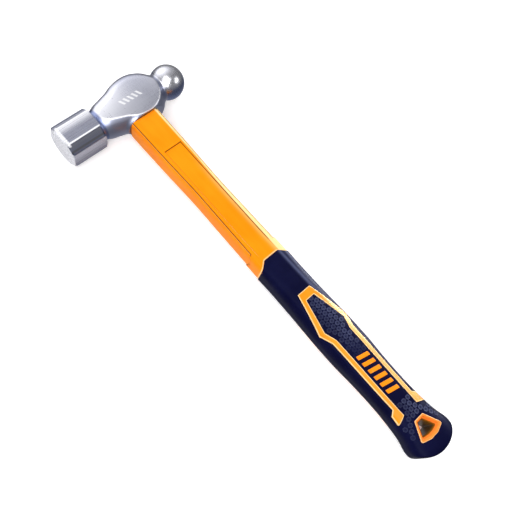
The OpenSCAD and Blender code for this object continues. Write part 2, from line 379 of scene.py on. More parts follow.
def build_bond():
    """Cast resin round the core, its top a little sunk, and crept up the walls."""
    n = 96
    rings = []
    core = stadium(5.5, 7.0, n)
    for x in (LAND_UNDER, 0.0, -10.0, -13.5):
        P = stadium(eye_r(x) - 0.002, 8.0, n)
        rings.append(np.stack([np.full(n, x), P[:, 0], P[:, 1]], 1))
    t = np.linspace(0, 2 * np.pi, n, endpoint=False)
    creep = 0.12 * np.sin(3 * t + 0.7) + 0.08 * np.sin(7 * t + 2.0) + 0.05 * np.sin(13 * t)
    wall = stadium(eye_r(-16.5) - 0.002, 8.0, n)
    for f, dx in ((0.0, 0.0), (0.12, 0.25), (0.3, 0.42), (0.55, 0.5), (0.8, 0.45), (0.94, 0.3), (1.0, 0.2)):
        P = wall * (1 - f) + core * f
        x = dressed(P, 1.1, 17.9) + dx + creep * (1.5 - abs(2 * f - 1))
        rings.append(np.stack([x, P[:, 0], P[:, 1]], 1))
    for x in (-12.0, 0.0, LAND_UNDER):
        rings.append(np.stack([np.full(n, x), core[:, 0], core[:, 1]], 1))
    V, F = loft(rings, start=None, end=None)
    m, last = n, (len(rings) - 1) * n
    F.extend([[k, last + k, last + (k + 1) % n, (k + 1) % n] for k in range(m)])
    ob = make("eye_resin", V, F)
    outward(ob)
    shade(ob, True, 40)
    return ob


def build_core():
    """The end of the rod, dressed down just proud of the resin."""
    n = 96
    rings = []
    for x in (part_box("handle_core")[1].x * 1000 - OX, 200, 100, 0, -12):
        P = stadium(5.5, 7.0, n)
        rings.append(np.stack([np.full(n, x), P[:, 0], P[:, 1]], 1))
    for s, back in ((1.0, 0.25), (0.985, 0.1), (0.95, 0.02), (0.8, 0.0), (0.6, 0.0), (0.4, 0.0), (0.2, 0.0)):
        P = stadium(5.5, 7.0, n) * s
        rings.append(np.stack([dressed(P, 0.4, 17.4) + back, P[:, 0], P[:, 1]], 1))
    V, F = loft(rings, end=(-17.4, 0, 0))
    ob = make("fibreglass_core", V, F)
    outward(ob)
    shade(ob, True, 50)
    return ob


# ---------------------------------------------------------------- shank
def strip_end(z):
    return 144.9 - 0.33 * np.abs(z)


def shank_section(x):
    """Half the upper quarter ring, tip to panel, as it is with the groove, without it, and the shade painted into the
    groove.
    """
    w, h = float(shank_w(min(x, 150))), SHANK_H
    y0, n = w - 3.6, 3.4
    q0, q1, dark = [], [], []
    for a in np.radians([8, 16, 24, 32, 40, 47, 53, 58, 63, 67, 71]):
        c, s = math.cos(a) ** (2 / n), math.sin(a) ** (2 / n)
        q0.append((y0 + 2.9 * c, 9.0 * s))
        q1.append((y0 + 3.6 * c, 9.4 * s))
        dark.append(0.0)
    k = [i for i, q in enumerate(q0) if q[0] > w - 2.0]
    q0, q1, dark = [q0[i] for i in k], [q1[i] for i in k], [dark[i] for i in k]
    for dy, dz, d in ((2.05, 0.73, 0.25), (2.15, 0.83, 0.7), (2.25, 1.0, 1.0), (2.35, 1.1, 1.0), (2.45, 1.04, 1.0),
                      (2.52, 0.8, 0.95), (2.56, 0.5, 0.7), (2.62, 0.22, 0.3), (2.72, 0.06, 0.0), (2.86, 0.0, 0.0)):
        y = w - dy
        q0.append((y, h - dz))
        q1.append((y, min(h, 9.4 * (1 - ((y - y0) / 3.6) ** n) ** (1 / n) + 0.02 * dy)))
        dark.append(d)
    return w, np.array(q0), np.array(q1), np.array(dark)


def shank_ring(x, e=0.0):
    """One ring of the shank, as points (x, y, z), and the shade painted into its grooves. e pulls it in, for the
    rounded end.
    """
    w, q0, q1, dark = shank_section(x)
    h = SHANK_H
    end = strip_end(q0[:, 1])
    t = step(x, end - 0.45, end + 0.25)[:, None]
    q = q0 * (1 - t) + q1 * t
    # painted shade: a dark line where each side groove ends
    close = np.exp(-((x - end + 0.1) / 0.34) ** 2)
    dark = np.maximum(dark * (1 - t[:, 0]), close * (q0[:, 0] > w - 2.3))
    tip_t = float(step(x, strip_end(0) - 0.45, strip_end(0) + 0.25))
    tip = (w - 0.7) * (1 - tip_t) + w * tip_t
    p = float(step(x, 47.35, 47.75)) * (1 - float(step(x, 132, 149)))
    # painted shade on the wall at the head end of the sunk panel
    head_wall = float(step(x, 47.4, 47.62)) * (1 - float(step(x, 47.8, 48.3)))
    ys = q[-1, 0]
    rest = [(ys + (7.45 - ys) * f, h, 0.0) for f in (0.35, 0.7, 1.0)]
    # painted shade along the border wall of the sunk panel
    for y, f, d in ((7.26, 0.0, 0.0), (7.18, 0.05, 0.3), (7.12, 0.2, 0.8), (7.04, 0.55, 1.0), (6.96, 0.88, 1.0),
                    (6.84, 0.98, 0.8), (6.66, 1.0, 0.25), (6.4, 1.0, 0.0)):
        rest.append((y, h - 0.6 * p * f, d * min(1.0, 1.7 * p)))
    for y in (5.4, 4.0, 2.7, 1.3):
        rest.append((y, h - 0.6 * p, head_wall))
    rest = np.array(rest)
    q = np.vstack([q, rest[:, :2]])
    dark = np.concatenate([dark, rest[:, 2]])
    if head_wall:
        dark = np.maximum(dark, np.where(q[:, 0] < 7.2, head_wall, 0))
    R = np.vstack([[[tip, 0]], q, q[::-1] * [-1, 1], [[-tip, 0]], q * [-1, -1], q[::-1] * [1, -1]])
    c0 = math.exp(-((x - strip_end(0) + 0.1) / 0.34) ** 2)
    D = np.concatenate([[c0], dark, dark[::-1], [c0], dark, dark[::-1]])
    if e:
        L = np.hypot(R[:, 0], R[:, 1])
        R = R * (1 - e / L)[:, None]
    return np.stack([np.full(len(R), x), R[:, 0], R[:, 1]], 1), D


def inner_ring(x, n):
    """The jacket under the soft skin."""
    w, h = float(grip_w(x)) - 2.3, float(grip_h(x)) - 2.3
    t = np.linspace(0, 2 * np.pi, 720, endpoint=False)
    c, s = np.cos(t), np.sin(t)
    P = np.stack([w * np.sign(c) * np.abs(c) ** (2 / 3.6), h * np.sign(s) * np.abs(s) ** (2 / 3.6)], 1)
    P = resample(P, n, 0.0)
    return np.stack([np.full(n, x), P[:, 0], P[:, 1]], 1)


def build_jacket():
    rings, shades = [], []
    for dx, e in ((0.0, 1.15), (0.06, 0.8), (0.18, 0.5), (0.38, 0.26), (0.65, 0.1), (1.0, 0.02)):
        rings.append(shank_ring(LAND_UNDER + dx, e))
    xs = list(np.arange(18.5, 47, 2.0)) + [47.2, 47.33, 47.4, 47.47, 47.55, 47.63, 47.7, 47.77, 47.9, 48.3]
    xs += list(np.arange(49.5, 139, 2.0)) + list(np.arange(139.9, 145.8, 0.17)) + list(np.arange(147, 157.6, 0.3)) + [158.5]
    for x in xs:
        rings.append(shank_ring(x))
    shades = np.concatenate([r[1] for r in rings])
    rings = [r[0] for r in rings]
    at = np.vstack(rings)
    # painted highlight: a light line just ahead of the grip's front edge
    painted_highlight = np.exp(-((at[:, 0] - front_x(at[:, 1]) + 0.5) / 0.36) ** 2)
    more = step(at[:, 0], 55, 100)
    pale = 0.28 * more * step(at[:, 1], 3.2, 7.0)                             # a painted highlight: a paler band along the border, on the +y side only, colour only
    pale = pale + (0.95 - 0.25 * more) * step(at[:, 1] - 1.5 * (1 - more), 6.95, 7.5)
    painted_highlight = np.maximum(painted_highlight, pale * step(at[:, 2], 2.0, 7.0))
    n = len(rings[0])
    for x in (161, 175, 190, 205, 220, 236, 250, 265, 280, 292, 302, 308):
        rings.append(inner_ring(x, n))
    V, F = loft(rings, start=None)
    core = resample(stadium(5.5, 7.0, 360), n, 0.0)        # the seat of the core
    a, b = len(V), len(V) + n
    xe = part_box("handle_core")[1].x * 1000 - OX
    V = np.vstack([V, np.stack([np.full(n, LAND_UNDER), core[:, 0], core[:, 1]], 1),
                   np.stack([np.full(n, xe), core[:, 0], core[:, 1]], 1)])
    for k in range(n):
        k2 = (k + 1) % n
        F.append([k2, k, a + k, a + k2])
        F.append([a + k2, a + k, b + k, b + k2])
    F.append([b + k for k in range(n)])
    ob = make("shank_jacket_moulding", V, F)
    # the painted shade of the grooves, kept for the material
    paint(ob, "painted_shade", np.concatenate([shades, np.zeros(len(V) - len(shades))]))
    paint(ob, "lit", np.concatenate([painted_highlight, np.zeros(len(V) - len(painted_highlight))]))
    outward(ob)
    boolean(ob, [prism("jacket_hole", LINER_OUT, -20, 20)], sharp=40)
    return ob


def prism(name, outline, z0, z1):
    P = np.asarray(outline, float)
    rings = [np.stack([P[:, 0], P[:, 1], np.full(len(P), z)], 1) for z in (z0, z1)]
    V, F = loft(rings)
    ob = make(name, V, F)
    outward(ob)
    return ob


# ---------------------------------------------------------------- grip
FRAME_OUT = [(182.8, 5.4), (212.5, 12.6), (221.5, 9.8), (277.5, 9.3), (280.3, 12.0), (287.6, 12.7), (284.6, 6.3)]
FRAME_IN = [(280, 6.4), (221.3, 6.5), (213, 9.1), (189, 3.6)]
FRAME = FRAME_OUT + FRAME_IN + [(x, -y) for x, y in reversed(FRAME_OUT + FRAME_IN)]
FRAME_RAD = [0.5, 0.8, 0.8, 0.25, 0.25, 0.3, 0.3, 0.3, 0.8, 0.8, 0.5]
FRAME_RAD = FRAME_RAD + FRAME_RAD[::-1]
BARS = [[(x, -4.4), (x + 2.9, -4.4), (x + 5.1, 4.4), (x + 2.2, 4.4)] for x in (237.5 + 5.6 * np.arange(6))]
LINER = both([(291.7, 4.0), (304.4, 10.1), (306.7, 3.2)])
HOLE_TOP = both([(293.1, 3.1), (303.5, 8.2), (305.1, 2.6)])
HOLE_IN = both([(294.6, 1.6), (302.4, 5.4), (303.1, 1.8)])
LINER_OUT = rounded(LINER, [0.9, 1.1, 3.0, 3.0, 1.1, 0.9])


def front_x(y):
    """Chevron front edge of the soft skin."""
    a = np.abs(y)
    return np.interp(a, [0, 6.1, 9.6, 12.9, 14], [150.5, 150.5, 153.6, 155.7, 156.4])


def skin_ring(x, n, d=0.0, s=1.0):
    w, h, m = float(grip_w(x)) + d, float(grip_h(x)) + d, float(grip_n(x))
    t = np.linspace(0, 2 * np.pi, 1440, endpoint=False)
    c, q = np.cos(t), np.sin(t)
    P = np.stack([w * np.sign(c) * np.abs(c) ** (2 / m), h * np.sign(q) * np.abs(q) ** (2 / m)], 1)
    return resample(P, n, 4.0) * s


def butt_at(y):
    return BUTT_X - BUTT_R + np.sqrt(np.maximum(BUTT_R ** 2 - np.asarray(y) ** 2, 1.0))


def build_grip():
    n = 288
    rings = []
    # front edge: up from the shank, over a small round, then the skin
    for dx, d in ((0.0, -1.9), (0.0, -0.75), (0.04, -0.42), (0.16, -0.2), (0.36, -0.06), (0.65, 0.0), (1.2, 0.0)):
        P = skin_ring(150.5 + dx, n, d)
        rings.append(np.stack([front_x(P[:, 0]) + dx, P[:, 0], P[:, 1]], 1))
    for x in np.concatenate([np.arange(153.5, 296.1, 1.5), np.arange(297, 311, 1.1)]):
        P = skin_ring(x, n)
        fade = 1 - float(step(x, 150.5, 172))
        X = x + (front_x(P[:, 0]) - 150.5) * fade
        if x > 296:
            X = 296 + (butt_at(P[:, 0]) - 296) * (x - 296) / (BUTT_X - 296)
        rings.append(np.stack([X, P[:, 0], P[:, 1]], 1))
    for back, d in ((6.2, 0), (5.0, 0), (4.0, 0), (3.1, 0), (2.4, -0.02), (1.8, -0.12), (1.3, -0.34), (0.9, -0.64),
                    (0.6, -1.0), (0.36, -1.45), (0.18, -2.0)):
        P = skin_ring(BUTT_X - back, n, d)
        X = 296 + (butt_at(P[:, 0]) - 296) * (BUTT_X - back - 296) / (BUTT_X - 296)
        rings.append(np.stack([X, P[:, 0], P[:, 1]], 1))
    for s, back in ((0.86, 0.1), (0.7, 0.05), (0.5, 0.02), (0.3, 0.0), (0.12, 0.0)):
        P = skin_ring(BUTT_X - 0.18, n, -2.0, s)
        X = 296 + (butt_at(P[:, 0]) - 296) * (BUTT_X - back - 296) / (BUTT_X - 296)
        rings.append(np.stack([X, P[:, 0], P[:, 1]], 1))
    V, F = loft(rings, start=None, end=(BUTT_X, 0, 0))
    # the sleeve's bore, over the jacket
    first = np.arange(n)
    inner = [156.0, 161.0, 175, 205, 236, 265, 292, 308.0]
    base = len(V)
    IR = []
    P0 = rings[0][:, 1:]
    IR.append(np.stack([np.full(n, 159.0), P0[:, 0], P0[:, 1]], 1))
    for x in inner[1:]:
        q = inner_ring(x, n)
        IR.append(q)
    V = np.vstack([V] + IR)
    k = np.arange(n)
    k2 = (k + 1) % n
    prev = 0
    for j in range(len(IR)):
        b = base + j * n
        F.extend(np.stack([prev + k2, prev + k, b + k, b + k2], 1).tolist())
        prev = b
    F.append((prev + k).tolist())
    ob = make("soft_grip", V, F)
    r = V[:, 1] / grip_w(V[:, 0])
    shine = 0.85 * np.exp(-((r - 0.52) / 0.085) ** 2) * (1 - step(V[:, 0], 188, 212)) \
        + 0.7 * np.exp(-((r - 0.85) / 0.09) ** 2) * (1 - step(V[:, 0], 262, 285))
    paint(ob, "lit", shine * step(V[:, 2], 1.5, 6.0) * step(V[:, 0], 148, 152))    # a painted sheen: lighter bands along one edge of the upper side, colour only
    outward(ob)
    cutters = [prism("liner_cut", grow(LINER_OUT, 0.16), -20, 20)]
    for s in (1, -1):
        cutters.append(inlay("frame_cut", rounded(FRAME, FRAME_RAD), s, 0.22, -1.0, 3.0, 0))
        for b in BARS:
            cutters.append(inlay("bar_cut", rounded(b, 0.35, 4), s, 0.2, -0.8, 3.0, 0))
    boolean(ob, cutters, sharp=32)
    return ob


def inlay(name, outline, side, out=0.0, low=-1.0, high=PROUD, bevel=0.28, seg=3, rim=0.0):
    """A plate of that outline laid on the grip's skin, from low to high above it, its upper edge rounded."""
    P = grow(outline, out) if out else np.asarray(outline, float)
    bm = bmesh.new()
    vs = [bm.verts.new((x, y, low)) for x, y in P]
    f = bm.faces.new(vs)
    top = bmesh.ops.extrude_face_region(bm, geom=[f])
    tv = [v for v in top["geom"] if isinstance(v, bmesh.types.BMVert)]
    for v in tv:
        v.co.z = high
    bmesh.ops.recalc_face_normals(bm, faces=bm.faces)
    if rim:
        bmesh.ops.inset_region(bm, faces=[g for g in bm.faces if all(v.co.z > high - 1e-6 for v in g.verts)],
                               thickness=bevel + rim, use_even_offset=True)
    if bevel:
        tf = [g for g in bm.faces if all(v.co.z > high - 1e-6 for v in g.verts)]
        edges = [e for e in {e for g in tf for e in g.edges} if any(g not in tf for g in e.link_faces)]
        bmesh.ops.bevel(bm, geom=edges, offset=bevel, segments=seg, profile=0.5, affect="EDGES", clamp_overlap=True)
    lo = np.array([min(v.co[i] for v in bm.verts) for i in range(2)])
    hi = np.array([max(v.co[i] for v in bm.verts) for i in range(2)])
    for axis, pitch in ((0, 2.4), (1, 0.8)):
        for c in np.arange(math.ceil(lo[axis] / pitch) * pitch + 0.013, hi[axis], pitch):
            no = Vector((1, 0, 0)) if axis == 0 else Vector((0, 1, 0))
            bmesh.ops.bisect_plane(bm, geom=bm.verts[:] + bm.edges[:] + bm.faces[:], dist=1e-5,
                                   plane_co=no * float(c), plane_no=no)
    for v in bm.verts:
        v.co.z = float(skin_z(v.co.x, v.co.y)) + v.co.z
        if side < 0:
            v.co.z = -v.co.z
    bmesh.ops.remove_doubles(bm, verts=bm.verts, dist=1e-5)
    bmesh.ops.triangulate(bm, faces=[g for g in bm.faces if len(g.verts) > 4])
    if side < 0:
        bmesh.ops.reverse_faces(bm, faces=bm.faces)
    bmesh.ops.recalc_face_normals(bm, faces=bm.faces)
    for v in bm.verts:
        v.co = Vector(to_row(v.co))
    me = bpy.data.meshes.new(name)
    bm.to_mesh(me)
    bm.free()
    ob = bpy.data.objects.new(name, me)
    SCENE.collection.objects.link(ob)
    # painted highlight: a light band along the rounded border of the plate
    if rim:
        lit = []
        for v in me.vertices:
            q = np.array([v.co.x * 1000 - OX, v.co.y * 1000 - OY])
            a, b = P, np.roll(P, -1, axis=0)
            t = np.clip(((q - a) * (b - a)).sum(1) / np.maximum(((b - a) ** 2).sum(1), 1e-12), 0, 1)
            d = np.hypot(*(a + (b - a) * t[:, None] - q).T).min()
            rise = abs(v.co.z * 1000 - OZ) - float(skin_z(q[0], q[1]))
            lit.append(0.0 if rise < 0.02 else 1.0 - float(step(d, bevel, bevel + rim)))
        paint(ob, "lit", lit)
    shade(ob, True, 38)
    return ob


def join(name, obs):
    bm = bmesh.new()
    for o in obs:
        bm.from_mesh(o.data)
    me = bpy.data.meshes.new(name)
    bm.to_mesh(me)
    bm.free()
    for o in obs:
        bpy.data.objects.remove(o)
    ob = bpy.data.objects.new(name, me)
    SCENE.collection.objects.link(ob)
    shade(ob, True, 38)
    return ob


def build_liner():
    n = 180
    ctr = np.array([300.0, 0.0])

    def polar(P):
        """The outline at n even angles about the centre, so that rings match."""
        Q = np.vstack([P, P[:1]]) - ctr
        out = []
        for a in np.linspace(0, 2 * np.pi, n, endpoint=False):
            u = np.array([math.cos(a), math.sin(a)])
            best = 0
            for p, q in zip(Q[:-1], Q[1:]):
                d = q - p
                den = u[0] * d[1] - u[1] * d[0]
                if abs(den) < 1e-12:
                    continue
                t = (p[0] * d[1] - p[1] * d[0]) / den
                w = (p[0] * u[1] - p[1] * u[0]) / den
                if t > 0 and -1e-9 <= w <= 1 + 1e-9:
                    best = max(best, t)
            out.append(ctr + u * best)
        return np.array(out)

    outer = polar(LINER_OUT)
    rim_o = polar(rounded(np.array(LINER) + 0, [0.9, 1.1, 3.0, 3.0, 1.1, 0.9]))
    top = polar(rounded(HOLE_TOP, [0.7, 0.9, 2.4, 2.4, 0.9, 0.7]))
    hole = polar(rounded(HOLE_IN, [0.4, 0.6, 1.5, 1.5, 0.6, 0.4]))

    def blend(A, B, t):
        return A * (1 - t) + B * t

    half = []
    zt = lambda P, d: skin_z(P[:, 0], P[:, 1]) + d
    half.append((outer, np.zeros(n)))
    half.append((outer, zt(outer, -0.25)))
    half.append((outer, zt(outer, 0.02)))
    for t, d in ((0.03, 0.14), (0.09, 0.24), (0.18, 0.31), (0.3, PROUD)):
        P = blend(rim_o, top, t)
        half.append((P, zt(P, d)))
    for t, d in ((0.6, PROUD), (0.8, PROUD - 0.02), (0.92, PROUD - 0.1), (1.0, PROUD - 0.25)):
        P = blend(rim_o, top, t)
        half.append((P, zt(P, d)))
    for t in (0.1, 0.3, 0.5, 0.7, 0.88):
        P = blend(top, hole, t)
        half.append((P, 11.75 - 3.1 * t * np.ones(n)))
    for t, z in ((0.96, 8.85), (1.0, 8.4), (1.0, 7.0)):
        half.append((blend(top, hole, t), z * np.ones(n)))
    half.append((hole, np.zeros(n)))
    loop = half + [(P, -z) for P, z in reversed(half[1:-1])]
    V = np.vstack([np.stack([P[:, 0], P[:, 1], z], 1) for P, z in loop])
    F = []
    m = len(loop)
    k = np.arange(n)
    k2 = (k + 1) % n
    for j in range(m):
        a, b = j * n, ((j + 1) % m) * n
        F.extend(np.stack([a + k, a + k2, b + k2, b + k], 1).tolist())
    ob = make("hang_hole_bush", V, F)
    z = np.abs(V[:, 2])
    inner = np.repeat([1.0 if 14 <= i < m - 13 else 0.0 for i in range(m)], n)
    # painted shade: the walls of the hole darker below the rim
    paint(ob, "painted_shade", np.where(z < 11.9, 0.55 + 0.45 * step(-z, -11.0, -9.2), 0.0) * inner)
    # painted highlight on the rings round the outer rim
    paint(ob, "lit", np.repeat([{3: 0.9, 4: 0.9, 5: 0.7}.get(min(i, m - i), 0.0) for i in range(m)], n))
    outward(ob)
    shade(ob, True, 45)
    return ob


def build_hexes():
    """Small raised hexagons with a dimple each, sunk into the skin. They fade out towards the emblem."""
    p = 3.86
    e1, e2 = np.array([math.sqrt(3) / 2, 0.5]) * p, np.array([math.sqrt(3) / 2, -0.5]) * p
    cells = []

    def inside(P, x, y):
        c = False
        for (x1, y1), (x2, y2) in zip(P, P[1:] + P[:1]):
            if (y1 > y) != (y2 > y) and x < (x2 - x1) * (y - y1) / (y2 - y1) + x1:
                c = not c
        return c

    def clear(P, x, y, r):
        best = 1e9
        for (x1, y1), (x2, y2) in zip(P, P[1:] + P[:1]):
            d = np.array([x2 - x1, y2 - y1])
            t = np.clip(((x - x1) * d[0] + (y - y1) * d[1]) / (d @ d), 0, 1)
            best = min(best, math.hypot(x - x1 - t * d[0], y - y1 - t * d[1]))
        return best > r

    zone = both([(188, 3.6), (213, 9.1), (221.3, 6.5), (238, 6.5)])
    for anchor, span in (((196.7, 0.0), 20), ((285.0, 0.0), 12)):
        for i in range(-span, span + 1):
            for j in range(-span, span + 1):
                x, y = np.array(anchor) + i * e1 + j * e2
                if anchor[0] < 200:
                    if not (inside(zone, x, y) and clear(zone, x, y, 1.15)):
                        continue
                    cells.append((x, y, 1 - 0.75 * float(step(x, 222, 237))))
                else:
                    if not (272 < x < 305 and abs(y) < 13.2):
                        continue
                    if abs(y) < 6.2 and x < 276.5:
                        continue
                    if not clear(FRAME, x, y, 2.0) or inside(FRAME, x, y) or (x < 284 and abs(y) > 5):
                        continue
                    if inside(LINER, x, y) or not clear(LINER, x, y, 2.1):
                        continue
                    cells.append((x, y, (0.35 + 0.65 * float(step(x, 273, 279))) * (1 - 0.8 * float(step(x, 294, 304)))))
    V, F, lit = [], [], []
    # painted highlight: each hexagon's rings lighter, more so towards +y
    glow = [0, 0.0, 0.7, 1.0, 0.5, 0.4, 0.5, 0.0]
    prof = [(1.64, -0.5), (1.60, 0.0), (1.52, 0.18), (1.38, 0.27), (1.15, 0.22), (0.8, 0.2), (0.52, 0.17), (0.36, 0.0)]
    m = 24
    for side in (1, -1):
        for x, y, f in cells:
            z = float(skin_z(x, y))
            gx = float(skin_z(x + 0.1, y) - skin_z(x - 0.1, y)) / 0.2
            gy = float(skin_z(x, y + 0.1) - skin_z(x, y - 0.1)) / 0.2
            nrm = np.array([-gx, -gy, 1.0])
            nrm /= np.linalg.norm(nrm)
            ux = np.array([1, 0, gx])
            ux /= np.linalg.norm(ux)
            uy = np.cross(nrm, ux)
            base = len(V)
            cell_highlight = f * (0.4 + 0.6 * float(step(y, -5, 4)))
            lit.extend([g * cell_highlight for g in glow for _ in range(m)] + [0, 0])
            for r, hgt in prof:
                for k in range(m):
                    a = 2 * math.pi * k / m
                    hexr = 1 / math.cos((a + math.pi / 6) % (math.pi / 3) - math.pi / 6)
                    hexr = hexr ** (1.0 if r > 1 else 0.25)
                    q = np.array([x, y, z]) + ux * (r * hexr * math.cos(a)) + uy * (r * hexr * math.sin(a)) \
                        + nrm * (hgt * f if hgt > 0 else hgt)
                    V.append(q * [1, 1, side])
            V.append((np.array([x, y, z]) + nrm * -0.07) * [1, 1, side])
            V.append((np.array([x, y, z]) - nrm * 0.5) * [1, 1, side])
            c, b = len(V) - 2, len(V) - 1
            for j in range(len(prof) - 1):
                for k in range(m):
                    k2 = (k + 1) % m
                    q = [base + j*m + k, base + j*m + k2, base + (j+1)*m + k2, base + (j+1)*m + k]
                    F.append(q if side > 0 else q[::-1])
            o = base + (len(prof) - 1) * m
            for k in range(m):
                k2 = (k + 1) % m
                t = [o + k, o + k2, c]
                F.append(t if side > 0 else t[::-1])
                t = [base + k2, base + k, b]
                F.append(t if side > 0 else t[::-1])
    ob = make("grip_hexagons", V, F, sharp=60)
    paint(ob, "lit", lit)
    return ob


# ---------------------------------------------------------------- materials
class Nodes:
    def __init__(self, name):
        self.mat = bpy.data.materials.new(name)
        self.mat.use_nodes = True
        self.t = self.mat.node_tree
        self.b = self.t.nodes["Principled BSDF"]
        self.co = self.t.nodes.new("ShaderNodeTexCoord").outputs["Object"]

    def n(self, kind, **kw):
        nd = self.t.nodes.new("ShaderNode" + kind)
        for k, v in kw.items():
            if k in nd.inputs:
                self.put(nd.inputs[k], v)
            else:
                setattr(nd, k, v)
        return nd

    def put(self, sock, v):
        if isinstance(v, bpy.types.NodeSocket):
            self.t.links.new(v, sock)
        elif isinstance(v, (tuple, list)) and hasattr(sock.default_value, "__len__"):
            v = tuple(v) + ((1.0,) if len(v) == 3 and len(sock.default_value) == 4 else ())
            sock.default_value = v
        else:
            sock.default_value = v

    def math(self, op, a, b=None, c=None, clamp=False):
        nd = self.t.nodes.new("ShaderNodeMath")
        nd.operation = op
        nd.use_clamp = clamp
        for i, v in enumerate((a, b, c)):
            if v is not None:
                self.put(nd.inputs[i], v)
        return nd.outputs[0]

    def sep(self, v=None):
        nd = self.t.nodes.new("ShaderNodeSeparateXYZ")
        self.put(nd.inputs[0], v or self.co)
        return nd.outputs

    def mapped(self, scale, loc=(0, 0, 0)):
        nd = self.t.nodes.new("ShaderNodeMapping")
        self.put(nd.inputs["Vector"], self.co)
        nd.inputs["Scale"].default_value = scale
        nd.inputs["Location"].default_value = loc
        return nd.outputs[0]

    def noise(self, scale, detail=3.0, rough=0.5, vec=None, dist=0.0):
        nd = self.t.nodes.new("ShaderNodeTexNoise")
        self.put(nd.inputs["Vector"], vec or self.co)
        nd.inputs["Scale"].default_value = scale
        nd.inputs["Detail"].default_value = detail
        nd.inputs["Roughness"].default_value = rough
        nd.inputs["Distortion"].default_value = dist
        return nd.outputs["Fac"]

    def range(self, v, a, b, c=0.0, d=1.0, smooth=True):
        nd = self.t.nodes.new("ShaderNodeMapRange")
        nd.interpolation_type = "SMOOTHSTEP" if smooth else "LINEAR"
        self.put(nd.inputs["Value"], v)
        for k, x in (("From Min", a), ("From Max", b), ("To Min", c), ("To Max", d)):
            self.put(nd.inputs[k], x)
        return nd.outputs["Result"]

    def mix(self, f, a, b):
        nd = self.t.nodes.new("ShaderNodeMix")
        nd.data_type = "RGBA"
        self.put(nd.inputs["Factor"], f)
        ins = [i for i in nd.inputs if i.type == "RGBA"]
        self.put(ins[0], a)
        self.put(ins[1], b)
        return [o for o in nd.outputs if o.type == "RGBA"][0]

    def bump(self, h, strength, dist, normal=None):
        nd = self.t.nodes.new("ShaderNodeBump")
        self.put(nd.inputs["Height"], h)
        nd.inputs["Strength"].default_value = strength
        nd.inputs["Distance"].default_value = dist
        if normal is not None:
            self.put(nd.inputs["Normal"], normal)
        return nd.outputs[0]

    def stored(self, name):
        nd = self.t.nodes.new("ShaderNodeAttribute")
        nd.attribute_name = name
        return nd.outputs["Fac"]

    def pointy(self):
        return self.t.nodes.new("ShaderNodeNewGeometry").outputs["Pointiness"]


def local(axis, mm):
    """That local coordinate, as a row coordinate in metres."""
    return (mm + (OX, OY, OZ)[axis]) / 1000.0


